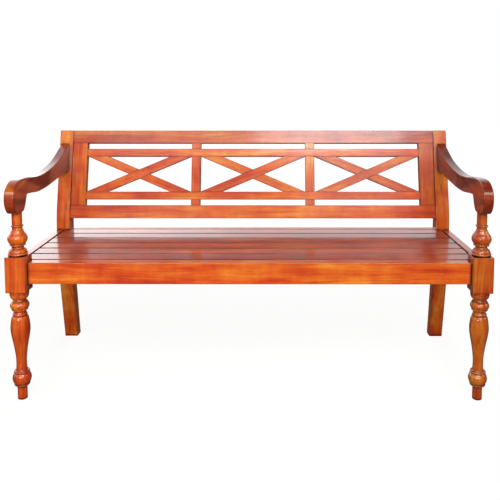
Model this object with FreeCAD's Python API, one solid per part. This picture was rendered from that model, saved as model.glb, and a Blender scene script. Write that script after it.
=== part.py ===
import FreeCAD, Part
import math
import os

# Deacons bench in solid mahogany, in millimetres.
# X runs along the bench, Y from front to rear, Z up from the floor.
# The pieces are drawn with Y measured from the front face of the front posts, and are moved
# at the end so that the origin lies on the floor under the middle of the whole bench.

Vec = FreeCAD.Vector

# Overall
BENCH_WIDTH = 1510.0
SEAT_HEIGHT = 443.0
BACK_ABOVE_SEAT = 373.0
POST_TO_POST_DEPTH = 398.5

# Joints
JOINT_CLEARANCE = 0.15
GLUE_ROOM = 1.0
TENON_SHOULDER = 10.0
TENON_WEB = 5.0
RAIL_TENON_LENGTH = 28.0
FRONT_RAIL_TENON_THICKNESS = 12.0
SIDE_RAIL_TENON_THICKNESS = 10.0
REAR_RAIL_TENON_THICKNESS = 12.0
STUB_TENON_LENGTH = 10.0
STUB_TENON_SHOULDER = 5.0

# Eased edges
POST_EASE = 1.5
REAR_POST_EASE = 2.5
RAIL_EASE = 2.0
SLAT_EASE = 2.5
ARM_EASE = 2.5
BACK_EASE = 1.0

# Front posts
POST_SIZE = 63.0
BLOCK_ABOVE_SEAT = 22.0
BLOCK_BELOW_RAIL = 23.0

# Turned leg, from the floor upwards
FOOT_RADIUS = 15.0
FOOT_EDGE = 2.5
FOOT_HEIGHT = 44.0
ANKLE_RING_RADIUS = 23.0
ANKLE_RING_HEIGHT = 7.5
ANKLE_RING_SWELL = 1.8
BALL_RADIUS = 28.8
BALL_END_RADIUS = 22.2
BALL_HEIGHT = 35.5
BALL_RING_RADIUS = 22.6
BALL_RING_HEIGHT = 7.0
SHAFT_RADIUS = 15.9
SHAFT_FLARE_RADIUS = 18.6
SHAFT_FLARE_HEIGHT = 28.0
LEG_VASE_RADIUS = 29.8

# Turned leg, from the block downwards
COLLAR_RADIUS = 29.6
COLLAR_HEIGHT = 8.0
CUP_RADIUS = 28.4
CUP_HEIGHT = 19.0
CUP_SWELL = 3.8
CUP_NECK_RADIUS = 19.2
CUP_NECK_HEIGHT = 6.0
CUP_NECK_DEPTH = 1.2
BEAD_LIP_RADIUS = 24.2
BEAD_LIP_HEIGHT = 2.5
BEAD_RADIUS = 28.8
BEAD_HEIGHT = 21.0
BEAD_SOLE_RADIUS = 24.8
BEAD_SOLE_HEIGHT = 5.0
BEAD_SOLE_STEP = 1.0
LEG_COVE_RADIUS = 20.5
LEG_COVE_HEIGHT = 10.0
LEG_RING_RADIUS = 22.3
LEG_RING_HEIGHT = 8.0
LEG_RING_SWELL = 1.5

# Turned baluster, from the block upwards
BALUSTER_HEIGHT = 135.0
TORUS_RADIUS = 30.4
TORUS_HEIGHT = 11.0
BELL_RADIUS = 27.9
BELL_HEIGHT = 12.0
BELL_SWELL = 2.0
BALUSTER_COVE_RADIUS = 19.4
BALUSTER_COVE_HEIGHT = 9.0
BALUSTER_COVE_DEPTH = 3.0
VASE_RING_RADIUS = 24.2
VASE_RING_HEIGHT = 5.0
VASE_RING_SWELL = 1.0
VASE_RADIUS = 30.0
VASE_HEIGHT = 54.0
NECK_RING_RADIUS = 18.9
NECK_RING_HEIGHT = 6.0
NECK_RADIUS = 15.5
ARM_PIN_RADIUS = 9.0
ARM_PIN_LENGTH = 35.0

# Seat frame
RAIL_HEIGHT = 68.0
FRONT_RAIL_THICKNESS = 35.0
FRONT_RAIL_SETBACK = 20.0
SIDE_RAIL_THICKNESS = 25.0
SIDE_RAIL_SETBACK = 10.0
REAR_RAIL_THICKNESS = 28.0
REAR_RAIL_SETBACK = 19.5

# Seat slats and what carries them
SLAT_COUNT = 6
SLAT_THICKNESS = 20.0
SLAT_GAP = 7.0
SLAT_END_GAP = 7.0
SLAT_POST_GAP = 2.0
SUPPORT_HEIGHT = 25.0
BEARER_COUNT = 3
BEARER_WIDTH = 40.0
LEDGER_WIDTH = 40.0
LEDGER_END_GAP = 0.5

# Corner blocks
CORNER_BLOCK_REACH = 75.0
CORNER_BLOCK_FOOT_LENGTH = 33.0
CORNER_BLOCK_FOOT_THICKNESS = 20.0
CORNER_BLOCK_GAP = 1.0

# Wood screws
SCREW_RADIUS = 2.0
SCREW_HEAD_RADIUS = 4.0
SCREW_HEAD_HEIGHT = 2.4
SCREW_POINT_LENGTH = 5.0
SCREW_TIP_RADIUS = 0.2
SCREW_SLOT_WIDTH = 1.0
SCREW_SLOT_DEPTH = 1.2
SCREW_CLEARANCE = 0.15
SLAT_SCREW_BITE = 12.0
LEDGER_SCREW_BITE = 15.0
CORNER_SCREW_BITE = 18.0

# Rear posts
REAR_POST_WIDTH = 50.0
REAR_POST_SEAT_DEPTH = 54.0
REAR_POST_TOP_DEPTH = 40.0
REAR_POST_FOOT_DEPTH = 40.0
BACK_LEAN = 14.0
LEG_RAKE = 11.4
BEND_RADIUS = 385.0
BEND_ABOVE_SEAT = 54.0
BEND_BELOW_RAIL = 41.0

# Back
GAP_UNDER_BACK = 46.0
BACK_THICKNESS = 25.0
BACK_SETBACK = 5.0
BACK_RAIL_HEIGHT = 49.0
BACK_SLOT_HEIGHT = 22.5
STILE_WIDTH = 57.0
INNER_RAIL_HEIGHT = 29.0
MUNTIN_WIDTH = 35.0
BAY_COUNT = 3
CROSS_BAR_WIDTH = 32.0
CROSS_BAR_THICKNESS = 20.0
CROSS_BAR_SETBACK = 1.0
BACK_TENON_LENGTH = 20.0
BACK_TENON_THICKNESS = 10.0
BACK_TENON_SHOULDER = 7.0
LATTICE_TENON_LENGTH = 15.0
LATTICE_TENON_THICKNESS = 8.0
LATTICE_TENON_SHOULDER = 5.0
CROSS_STUB_LENGTH = 8.0
CROSS_STUB_MARGIN = 16.0

# Arms
ARM_THICKNESS = 30.0
ARM_DEPTH = 52.0
ARM_REAR_DEPTH = 104.0
ARM_BELOW_TOP = 50.0
SCROLL_HEIGHT = 103.5
SCROLL_REACH = 60.0
SCROLL_NOSE_HEIGHT = 48.0
SCROLL_BACK = 52.0
SCROLL_THROAT = 48.0
ARM_TENON_LENGTH = 25.0
ARM_TENON_THICKNESS = 12.0
ARM_TENON_SHOULDER = 18.0

# Shapes of the flowing curves, as shares of the sizes above
SHAFT_FLARE_SHAPE = [(0.3, 0.25), (1.0, 0.0)]
LEG_VASE_SHAPE = [(0.235, 0.20), (0.40, 0.48), (0.57, 0.83), (0.74, 1.0), (0.91, 0.80), (1.0, 0.45)]
VASE_SHAPE = [(0.0, 0.49), (0.16, 0.90), (0.31, 1.0), (0.52, 0.74), (0.64, 0.42), (0.80, 0.155)]
SCROLL_NOSE_SHAPE = [(0.22, 1.0), (-0.32, 0.957), (-0.77, 0.80)]
SCROLL_CHIN_SHAPE = [(-0.94, 0.27), (-0.72, 0.09)]
SCROLL_BACK_SHAPE = [(0.56, 0.17), (0.77, 0.52), (0.90, 0.79)]

# Stations along an arm, from the rear: share of its run, of its rise and of its flare
ARM_STATIONS = [
    (0.91, 0.71, 0.67),
    (0.79, 0.32, 0.29),
    (0.61, -0.02, 0.06),
    (0.45, -0.18, 0.0),
    (0.28, -0.18, 0.0),
]

# Directions, as y and z, in which an arm's curves start and end
ARM_TOP_START = (-0.92, -0.38)
SCROLL_CHIN_END = (1.0, -0.1)
SCROLL_BACK_START = (1.0, 0.2)
SCROLL_BACK_END = (0.4, 0.9)
ARM_UNDERSIDE_END = (0.99, 0.1)

# Limits used when outlines are rounded and edges are picked
CORNER_ROOM = 0.45
SLIGHT_SLOPE = 0.01

# Places that follow from the sizes
HALF_WIDTH = BENCH_WIDTH / 2
POST_AXIS_X = HALF_WIDTH - POST_SIZE / 2
POST_AXIS_Y = POST_SIZE / 2
POST_INNER_X = HALF_WIDTH - POST_SIZE
RAIL_BOTTOM = SEAT_HEIGHT - RAIL_HEIGHT
BLOCK_TOP = SEAT_HEIGHT + BLOCK_ABOVE_SEAT
BLOCK_BOTTOM = RAIL_BOTTOM - BLOCK_BELOW_RAIL
ARM_SEAT = BLOCK_TOP + BALUSTER_HEIGHT
BACK_HEIGHT = SEAT_HEIGHT + BACK_ABOVE_SEAT
ARM_REAR_TOP = BACK_HEIGHT - ARM_BELOW_TOP
ARM_REAR_BOTTOM = ARM_REAR_TOP - ARM_REAR_DEPTH

SIDE_RAIL_OUTER_X = HALF_WIDTH - SIDE_RAIL_SETBACK
SIDE_RAIL_INNER_X = SIDE_RAIL_OUTER_X - SIDE_RAIL_THICKNESS
SIDE_TENON_X = (SIDE_RAIL_OUTER_X + SIDE_RAIL_INNER_X) / 2
REAR_POST_INNER_X = SIDE_RAIL_OUTER_X - REAR_POST_WIDTH
REAR_POST_FRONT = POST_SIZE + POST_TO_POST_DEPTH
FRONT_RAIL_BACK = FRONT_RAIL_SETBACK + FRONT_RAIL_THICKNESS
REAR_RAIL_FRONT = REAR_POST_FRONT + REAR_RAIL_SETBACK

SLAT_BOTTOM = SEAT_HEIGHT - SLAT_THICKNESS
SLAT_WIDTH = (REAR_RAIL_FRONT - FRONT_RAIL_BACK - SLAT_GAP) / SLAT_COUNT - SLAT_GAP
SLAT_PITCH = SLAT_WIDTH + SLAT_GAP
SLAT_END_X = SIDE_RAIL_INNER_X - SLAT_END_GAP
SUPPORT_BOTTOM = SLAT_BOTTOM - SUPPORT_HEIGHT
LEDGER_INNER_X = SIDE_RAIL_INNER_X - LEDGER_WIDTH
LEDGER_SCREW_X = (LEDGER_INNER_X + SLAT_END_X) / 2

LEAN_SLOPE = math.tan(math.radians(BACK_LEAN))
RAKE_SLOPE = math.tan(math.radians(LEG_RAKE))
UPPER_BEND = SEAT_HEIGHT + BEND_ABOVE_SEAT
LOWER_BEND = RAIL_BOTTOM - BEND_BELOW_RAIL


def lean_face_y(height):
    """Front face of a rear post, above its bend, at a height above the floor."""
    return REAR_POST_FRONT + (height - UPPER_BEND) * LEAN_SLOPE


POST_TOP_Y = lean_face_y(BACK_HEIGHT)
POST_TOP_REAR_Y = POST_TOP_Y + REAR_POST_TOP_DEPTH * math.cos(math.radians(BACK_LEAN))
NOSE_Y = POST_AXIS_Y - SCROLL_REACH
ORIGIN_Y = (NOSE_Y + POST_TOP_REAR_Y) / 2

BACK_TOTAL = (BACK_ABOVE_SEAT - GAP_UNDER_BACK) / math.cos(math.radians(BACK_LEAN))
BAY_HEIGHT = BACK_TOTAL - 2 * (BACK_RAIL_HEIGHT + BACK_SLOT_HEIGHT + INNER_RAIL_HEIGHT)
STILE_INNER_X = REAR_POST_INNER_X - STILE_WIDTH
BAY_WIDTH = (2 * STILE_INNER_X - (BAY_COUNT - 1) * MUNTIN_WIDTH) / BAY_COUNT
BACK_FRONT = BACK_SETBACK
BACK_REAR = BACK_SETBACK + BACK_THICKNESS
BACK_MIDDLE = (BACK_FRONT + BACK_REAR) / 2
UPPER_RAIL_TOP = -BACK_RAIL_HEIGHT - BACK_SLOT_HEIGHT
BAY_TOP = UPPER_RAIL_TOP - INNER_RAIL_HEIGHT
BAY_BOTTOM = BAY_TOP - BAY_HEIGHT
LOWER_RAIL_BOTTOM = BAY_BOTTOM - INNER_RAIL_HEIGHT
BOTTOM_RAIL_TOP = LOWER_RAIL_BOTTOM - BACK_SLOT_HEIGHT

AXES = {"x": Vec(1, 0, 0), "y": Vec(0, 1, 0), "z": Vec(0, 0, 1)}


# Plain shapes
def box(limits):
    """Box between x0, x1, y0, y1, z0 and z1."""
    x0, x1, y0, y1, z0, z1 = limits
    return Part.makeBox(x1 - x0, y1 - y0, z1 - z0, Vec(x0, y0, z0))


def eased_box(limits, axis, radius):
    """Box whose four long edges, along one axis, are rounded."""
    solid = box(limits)
    direction = AXES[axis]
    long_edges = [edge for edge in solid.Edges if edge.tangentAt(0).cross(direction).Length < SLIGHT_SLOPE]
    return solid.makeFillet(radius, long_edges)


def mortise(tenon, axis):
    """Hole for a tenon: its limits with clearance across and room for glue along the axis."""
    grown = []
    for name, low, high in zip("xyz", tenon[0::2], tenon[1::2]):
        extra = GLUE_ROOM if name == axis else JOINT_CLEARANCE
        grown.extend([low - extra, high + extra])
    return box(grown)


def prism(points, direction):
    """Solid swept from a flat polygon along a vector."""
    return Part.Face(Part.makePolygon(points + points[:1])).extrude(direction)


def fused(shapes):
    """One clean solid made of overlapping or touching ones."""
    return shapes[0].fuse(shapes[1:]).removeSplitter().Solids[0]


def cut_away(solid, cutters):
    """The solid less every cutter."""
    return solid.cut(cutters).Solids[0]


def mirrored(shape):
    """The same piece on the other side of the bench."""
    return shape.mirror(Vec(0, 0, 0), Vec(1, 0, 0))


def rounded_outline(corners):
    """Closed wire in the Y-Z plane through corners given as y, z and the radius that rounds them."""
    points = [Vec(0, y, z) for y, z, radius in corners]
    arcs = []
    for index, corner in enumerate(corners):
        here = points[index]
        back = points[index - 1] - here
        ahead = points[(index + 1) % len(points)] - here
        room = CORNER_ROOM * min(back.Length, ahead.Length)
        half_angle = back.getAngle(ahead) / 2
        reach = min(corner[2] / math.tan(half_angle), room)
        back.normalize()
        ahead.normalize()
        inward = (back + ahead).normalize()
        radius = reach * math.tan(half_angle)
        middle = here + inward * (radius / math.sin(half_angle) - radius)
        arcs.append(Part.Arc(here + back * reach, middle, here + ahead * reach).toShape())
    edges = []
    for index, arc in enumerate(arcs):
        start = arcs[index - 1].Vertexes[-1].Point
        edges.append(Part.makeLine(start, arc.Vertexes[0].Point))
        edges.append(arc)
    return Part.Wire(edges)


def smooth_edge(points, first_tangent, last_tangent):
    """Smooth curve through points that leaves and arrives in the given directions."""
    curve = Part.BSplineCurve()
    curve.interpolate(Points=points, InitialTangent=first_tangent, FinalTangent=last_tangent)
    return curve.toShape()


# Turned lengths
class Turning:
    """Half outline of a turned length, drawn upwards as radius and height about the Z axis."""

    def __init__(self, radius, height):
        self.start = Vec(0, 0, height)
        self.here = Vec(radius, 0, height)
        self.edges = [Part.makeLine(self.start, self.here)]

    def line(self, radius, height):
        """Straight cut to a point."""
        there = Vec(radius, 0, height)
        self.edges.append(Part.makeLine(self.here, there))
        self.here = there

    def arc(self, radius, height, bulge):
        """Round cut to a point. A positive bulge swells out and a negative one is a cove."""
        there = Vec(radius, 0, height)
        chord = there - self.here
        outward = Vec(chord.z, 0, -chord.x).normalize()
        middle = (self.here + there) * 0.5 + outward * bulge
        self.edges.append(Part.Arc(self.here, middle, there).toShape())
        self.here = there

    def curve(self, points, first_tangent, last_tangent):
        """Flowing cut through points given as radius and height."""
        stops = [self.here] + [Vec(radius, 0, height) for radius, height in points]
        self.edges.append(smooth_edge(stops, first_tangent, last_tangent))
        self.here = stops[-1]

    def solid(self):
        """The turned solid."""
        top = Vec(0, 0, self.here.z)
        closing = [Part.makeLine(self.here, top), Part.makeLine(top, self.start)]
        face = Part.Face(Part.Wire(self.edges + closing))
        return face.revolve(Vec(0, 0, 0), AXES["z"], 360)


def vase_points(shape, low, high, waist, belly):
    """Radius and height of each stop of a vase between two heights."""
    return [(waist + swell * (belly - waist), low + share * (high - low)) for share, swell in shape]


def turned_leg():
    """Leg below the block: foot, ball, tapering shaft and vase, cove, bead, cup and collar."""
    foot_round = FOOT_EDGE * (1 - math.cos(math.pi / 4))
    ball_bottom = FOOT_HEIGHT + ANKLE_RING_HEIGHT
    ball_top = ball_bottom + BALL_HEIGHT
    shaft_start = ball_top + BALL_RING_HEIGHT
    shaft_bottom = shaft_start + SHAFT_FLARE_HEIGHT
    cup_top = BLOCK_BOTTOM - COLLAR_HEIGHT
    bead_top = cup_top - CUP_HEIGHT - CUP_NECK_HEIGHT
    bead_bottom = bead_top - BEAD_LIP_HEIGHT - BEAD_HEIGHT
    sole_bottom = bead_bottom - BEAD_SOLE_HEIGHT
    vase_top = sole_bottom - LEG_COVE_HEIGHT - LEG_RING_HEIGHT
    flare = vase_points(SHAFT_FLARE_SHAPE, shaft_start, shaft_bottom, SHAFT_RADIUS, SHAFT_FLARE_RADIUS)
    vase = vase_points(LEG_VASE_SHAPE, shaft_bottom, vase_top, SHAFT_RADIUS, LEG_VASE_RADIUS)
    ring_edge = LEG_RING_RADIUS - LEG_RING_SWELL
    sole_edge = BEAD_SOLE_RADIUS - BEAD_SOLE_STEP
    up = AXES["z"]
    inwards = Vec(-1, 0, 1)

    leg = Turning(FOOT_RADIUS - FOOT_EDGE, 0)
    leg.arc(FOOT_RADIUS, FOOT_EDGE, foot_round)
    leg.line(FOOT_RADIUS, FOOT_HEIGHT)
    leg.arc(ANKLE_RING_RADIUS, FOOT_HEIGHT + ANKLE_RING_HEIGHT / 2, ANKLE_RING_SWELL)
    leg.arc(BALL_END_RADIUS, ball_bottom, ANKLE_RING_SWELL)
    leg.arc(BALL_END_RADIUS, ball_top, BALL_RADIUS - BALL_END_RADIUS)
    leg.arc(SHAFT_FLARE_RADIUS, shaft_start, BALL_RING_RADIUS - SHAFT_FLARE_RADIUS)
    leg.curve(flare, inwards, up)
    leg.curve(vase, up, inwards)
    leg.line(ring_edge, vase_top)
    leg.arc(ring_edge, vase_top + LEG_RING_HEIGHT, LEG_RING_SWELL)
    leg.arc(sole_edge, sole_bottom, LEG_COVE_RADIUS - sole_edge)
    leg.line(BEAD_SOLE_RADIUS, sole_bottom + BEAD_SOLE_STEP)
    leg.line(BEAD_SOLE_RADIUS, bead_bottom)
    leg.arc(BEAD_LIP_RADIUS, bead_bottom + BEAD_HEIGHT, BEAD_RADIUS - BEAD_LIP_RADIUS)
    leg.line(BEAD_LIP_RADIUS, bead_top)
    leg.arc(CUP_NECK_RADIUS, bead_top + CUP_NECK_HEIGHT, -CUP_NECK_DEPTH)
    leg.arc(CUP_RADIUS, cup_top, CUP_SWELL)
    leg.line(COLLAR_RADIUS, cup_top)
    leg.line(COLLAR_RADIUS, BLOCK_BOTTOM)
    return leg.solid()


def turned_baluster():
    """Baluster above the block, with the round tenon that goes into the arm."""
    torus_end = TORUS_RADIUS - TORUS_HEIGHT / 2
    torus_top = BLOCK_TOP + TORUS_HEIGHT
    bell_top = torus_top + BELL_HEIGHT
    ring_bottom = bell_top + BALUSTER_COVE_HEIGHT
    ring_top = ring_bottom + VASE_RING_HEIGHT
    ring_edge = VASE_RING_RADIUS - VASE_RING_SWELL
    vase_top = ring_top + VASE_HEIGHT
    vase = vase_points(VASE_SHAPE, ring_top, vase_top, NECK_RADIUS, VASE_RADIUS)

    baluster = Turning(torus_end, BLOCK_TOP)
    baluster.arc(torus_end, torus_top, TORUS_HEIGHT / 2)
    baluster.line(BELL_RADIUS, torus_top)
    baluster.arc(BALUSTER_COVE_RADIUS, bell_top, BELL_SWELL)
    baluster.arc(ring_edge, ring_bottom, -BALUSTER_COVE_DEPTH)
    baluster.arc(ring_edge, ring_top, VASE_RING_SWELL)
    baluster.line(*vase[0])
    baluster.curve(vase[1:] + [(NECK_RADIUS, vase_top)], Vec(1, 0, 1), AXES["z"])
    baluster.arc(NECK_RADIUS, vase_top + NECK_RING_HEIGHT, NECK_RING_RADIUS - NECK_RADIUS)
    baluster.line(NECK_RADIUS, ARM_SEAT)
    baluster.line(ARM_PIN_RADIUS, ARM_SEAT)
    baluster.line(ARM_PIN_RADIUS, ARM_SEAT + ARM_PIN_LENGTH)
    return baluster.solid()


# Tenons of the seat frame, on the right-hand side of the bench
def rail_tenon_heights():
    """Lower and upper edge of the tenons on the seat rails."""
    return RAIL_BOTTOM + TENON_SHOULDER, SEAT_HEIGHT - TENON_SHOULDER


def cross_tenon(post_inner_x, middle_y, thickness):
    """Tenon on a long rail, which stops short of the side rail's tenon in the same post."""
    low, high = rail_tenon_heights()
    end = SIDE_TENON_X - SIDE_RAIL_TENON_THICKNESS / 2 - TENON_WEB
    return (post_inner_x, end, middle_y - thickness / 2, middle_y + thickness / 2, low, high)


def front_rail_tenon():
    """Tenon of the front rail in the front post."""
    middle = FRONT_RAIL_SETBACK + FRONT_RAIL_THICKNESS / 2
    return cross_tenon(POST_INNER_X, middle, FRONT_RAIL_TENON_THICKNESS)


def rear_rail_tenon():
    """Tenon of the rear rail in the rear post."""
    middle = REAR_RAIL_FRONT + REAR_RAIL_THICKNESS / 2
    return cross_tenon(REAR_POST_INNER_X, middle, REAR_RAIL_TENON_THICKNESS)


def side_rail_tenon(face, direction):
    """Tenon of a side rail that starts at a post's face and runs forwards or backwards."""
    low, high = rail_tenon_heights()
    start, end = sorted([face, face + direction * RAIL_TENON_LENGTH])
    half = SIDE_RAIL_TENON_THICKNESS / 2
    return (SIDE_TENON_X - half, SIDE_TENON_X + half, start, end, low, high)


# Seat frame
def front_post():
    """Right-hand front post: leg, block and baluster in one length."""
    square = (POST_INNER_X, HALF_WIDTH, 0, POST_SIZE, BLOCK_BOTTOM, BLOCK_TOP)
    block = box(square)
    block = block.makeFillet(POST_EASE, block.Edges)
    turned = [turned_leg(), turned_baluster()]
    for piece in turned:
        piece.translate(Vec(POST_AXIS_X, POST_AXIS_Y, 0))
    post = fused([block] + turned)
    front_hole = mortise(front_rail_tenon(), "x")
    side_hole = mortise(side_rail_tenon(POST_SIZE, -1), "y")
    return cut_away(post, [front_hole, side_hole])


def long_rail(front, thickness, half_length, tenon):
    """Rail along the bench with a tenon at each end and a mortise for each bearer."""
    body = (-half_length, half_length, front, front + thickness, RAIL_BOTTOM, SEAT_HEIGHT)
    right_tenon = box(tenon)
    rail = fused([eased_box(body, "x", RAIL_EASE), right_tenon, mirrored(right_tenon)])
    return cut_away(rail, [mortise(limits, "y") for x in bearer_places() for limits in bearer_tenons(x)])


def side_rail():
    """Right-hand side rail with a tenon in each post."""
    body = (SIDE_RAIL_INNER_X, SIDE_RAIL_OUTER_X, POST_SIZE, REAR_POST_FRONT, RAIL_BOTTOM, SEAT_HEIGHT)
    front_tenon = box(side_rail_tenon(POST_SIZE, -1))
    rear_tenon = box(side_rail_tenon(REAR_POST_FRONT, 1))
    rail = fused([eased_box(body, "y", RAIL_EASE), front_tenon, rear_tenon])
    return cut_away(rail, rooms(ledger_screws()))


def bearer_places():
    """X of the middle of each bearer under the slats."""
    spacing = 2 * SLAT_END_X / (BEARER_COUNT + 1)
    return [-SLAT_END_X + spacing * (index + 1) for index in range(BEARER_COUNT)]


def bearer_tenons(x):
    """Stub tenons of a bearer in the front rail and in the rear rail."""
    half = BEARER_WIDTH / 2 - STUB_TENON_SHOULDER
    low = SUPPORT_BOTTOM + STUB_TENON_SHOULDER
    high = SLAT_BOTTOM - STUB_TENON_SHOULDER
    front = (x - half, x + half, FRONT_RAIL_BACK - STUB_TENON_LENGTH, FRONT_RAIL_BACK, low, high)
    rear = (x - half, x + half, REAR_RAIL_FRONT, REAR_RAIL_FRONT + STUB_TENON_LENGTH, low, high)
    return front, rear


def seat_bearer(x):
    """Batten from the front rail to the rear rail, under the slats."""
    half = BEARER_WIDTH / 2
    body = box((x - half, x + half, FRONT_RAIL_BACK, REAR_RAIL_FRONT, SUPPORT_BOTTOM, SLAT_BOTTOM))
    bearer = fused([body] + [box(limits) for limits in bearer_tenons(x)])
    return cut_away(bearer, rooms(slat_screws([x])))


def seat_ledger():
    """Right-hand strip on the side rail that carries the slats' ends."""
    front = POST_SIZE + LEDGER_END_GAP
    rear = REAR_POST_FRONT - LEDGER_END_GAP
    ledger = box((LEDGER_INNER_X, SIDE_RAIL_INNER_X, front, rear, SUPPORT_BOTTOM, SLAT_BOTTOM))
    return cut_away(ledger, rooms(slat_screws([LEDGER_SCREW_X]) + ledger_screws()))


def slat_front(index):
    """Y of the front edge of a slat, counted from 0 at the front."""
    return FRONT_RAIL_BACK + SLAT_GAP + index * SLAT_PITCH


def seat_slat(index):
    """Slat along the bench, notched where it passes a post."""
    front = slat_front(index)
    body = (-SLAT_END_X, SLAT_END_X, front, front + SLAT_WIDTH, SLAT_BOTTOM, SEAT_HEIGHT)
    slat = eased_box(body, "x", SLAT_EASE)
    low = SLAT_BOTTOM - SLAT_POST_GAP
    high = SEAT_HEIGHT + SLAT_POST_GAP
    front_notch = (POST_INNER_X - SLAT_POST_GAP, HALF_WIDTH, 0, POST_SIZE + SLAT_POST_GAP, low, high)
    rear_face = REAR_POST_FRONT - SLAT_POST_GAP
    rear_notch = (REAR_POST_INNER_X - SLAT_POST_GAP, HALF_WIDTH, rear_face, REAR_RAIL_FRONT, low, high)
    notches = [box(front_notch), box(rear_notch)]
    notches += [mirrored(notch) for notch in notches]
    return cut_away(slat, notches + rooms([slat_screw(x, index) for x in support_places()]))


def corner_block(rail_y, post_x, post_y, direction):
    """Right-hand block in a corner of the seat frame, fitted round the post's inner corner."""
    top = SUPPORT_BOTTOM - CORNER_BLOCK_GAP
    bottom = RAIL_BOTTOM + CORNER_BLOCK_GAP
    rail_end = post_x - CORNER_BLOCK_REACH
    side_end = post_y + direction * CORNER_BLOCK_REACH
    rail_foot_y = rail_y + direction * CORNER_BLOCK_FOOT_THICKNESS
    side_foot_x = SIDE_RAIL_INNER_X - CORNER_BLOCK_FOOT_THICKNESS
    outline = [
        (rail_end, rail_y),
        (rail_end, rail_foot_y),
        (rail_end + CORNER_BLOCK_FOOT_LENGTH, rail_foot_y),
        (side_foot_x, side_end - direction * CORNER_BLOCK_FOOT_LENGTH),
        (side_foot_x, side_end),
        (SIDE_RAIL_INNER_X, side_end),
        (SIDE_RAIL_INNER_X, post_y),
        (post_x, post_y),
        (post_x, rail_y),
    ]
    return prism([Vec(x, y, bottom) for x, y in outline], Vec(0, 0, top - bottom))


# Wood screws, each given as the middle of its head, its direction and its length
def screw(head, direction, length):
    """Countersunk wood screw with a slotted head."""
    shank_end = length - SCREW_POINT_LENGTH
    cone = Part.makeCone(SCREW_HEAD_RADIUS, SCREW_RADIUS, SCREW_HEAD_HEIGHT)
    shank = Part.makeCylinder(SCREW_RADIUS, shank_end)
    point = Part.makeCone(SCREW_RADIUS, SCREW_TIP_RADIUS, SCREW_POINT_LENGTH, Vec(0, 0, shank_end))
    half = SCREW_SLOT_WIDTH / 2
    slot = box((-SCREW_HEAD_RADIUS, SCREW_HEAD_RADIUS, -half, half, -SCREW_SLOT_DEPTH, SCREW_SLOT_DEPTH))
    return placed_screw(cut_away(fused([cone, shank, point]), [slot]), head, direction)


def screw_room(head, direction, length):
    """Hole for a screw and the countersink for its head."""
    radius = SCREW_RADIUS + SCREW_CLEARANCE
    head_radius = SCREW_HEAD_RADIUS + SCREW_CLEARANCE
    hole = Part.makeCylinder(radius, length + GLUE_ROOM)
    countersink = Part.makeCone(head_radius, radius, SCREW_HEAD_HEIGHT + SCREW_CLEARANCE)
    return [placed_screw(shape, head, direction) for shape in (hole, countersink)]


def rooms(places):
    """Holes and countersinks for several screws."""
    return [hole for place in places for hole in screw_room(*place)]


def placed_screw(shape, head, direction):
    """A shape drawn along Z from the origin, turned along a direction and moved to a point."""
    placed = shape.copy()
    placed.Placement = FreeCAD.Placement(head, FreeCAD.Rotation(Vec(0, 0, 1), direction))
    return placed


def support_places():
    """X of every row of screws under the slats: the ledgers and the bearers between them."""
    return [-LEDGER_SCREW_X] + bearer_places() + [LEDGER_SCREW_X]


def slat_screw(x, index):
    """Screw driven up through a bearer or a ledger into the middle of a slat."""
    head = Vec(x, slat_front(index) + SLAT_WIDTH / 2, SUPPORT_BOTTOM)
    return head, AXES["z"], SUPPORT_HEIGHT + SLAT_SCREW_BITE


def slat_screws(places):
    """Every slat's screw at each of several places along the bench."""
    return [slat_screw(x, index) for x in places for index in range(SLAT_COUNT)]


def ledger_screws():
    """Screws through the right-hand ledger into the side rail, under every second gap."""
    height = (SUPPORT_BOTTOM + SLAT_BOTTOM) / 2
    places = []
    for index in range(1, SLAT_COUNT, 2):
        head = Vec(LEDGER_INNER_X, slat_front(index) - SLAT_GAP / 2, height)
        places.append((head, AXES["x"], LEDGER_WIDTH + LEDGER_SCREW_BITE))
    return places


def corner_screws(rail_y, post_x, post_y, direction):
    """Two screws through the feet of a right-hand corner block, one into each rail."""
    height = (RAIL_BOTTOM + SUPPORT_BOTTOM) / 2
    length = CORNER_BLOCK_FOOT_THICKNESS + CORNER_SCREW_BITE
    inset = CORNER_BLOCK_REACH - CORNER_BLOCK_FOOT_LENGTH / 2
    rail_head = Vec(post_x - inset, rail_y + direction * CORNER_BLOCK_FOOT_THICKNESS, height)
    side_head = Vec(SIDE_RAIL_INNER_X - CORNER_BLOCK_FOOT_THICKNESS, post_y + direction * inset, height)
    return [(rail_head, Vec(0, -direction, 0), length), (side_head, AXES["x"], length)]


# Rear posts and arms
def side_edges(solid):
    """Edges of the two flat sides of a sawn piece."""
    sides = [face for face in solid.Faces if abs(face.normalAt(0, 0).x) > 1 - SLIGHT_SLOPE]
    return [edge for face in sides for edge in face.Edges]


def arm_tenon(length, clearance):
    """Tenon at the rear of the right-hand arm, or the hole for it, as a leaning block."""
    low = ARM_REAR_BOTTOM + ARM_TENON_SHOULDER - clearance
    high = ARM_REAR_TOP - ARM_TENON_SHOULDER + clearance
    half = ARM_TENON_THICKNESS / 2 + clearance
    overlap = GLUE_ROOM
    left = POST_AXIS_X - half
    corners = [
        Vec(left, lean_face_y(low) - overlap, low),
        Vec(left, lean_face_y(low) + length, low),
        Vec(left, lean_face_y(high) + length, high),
        Vec(left, lean_face_y(high) - overlap, high),
    ]
    return prism(corners, Vec(2 * half, 0, 0))


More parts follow.
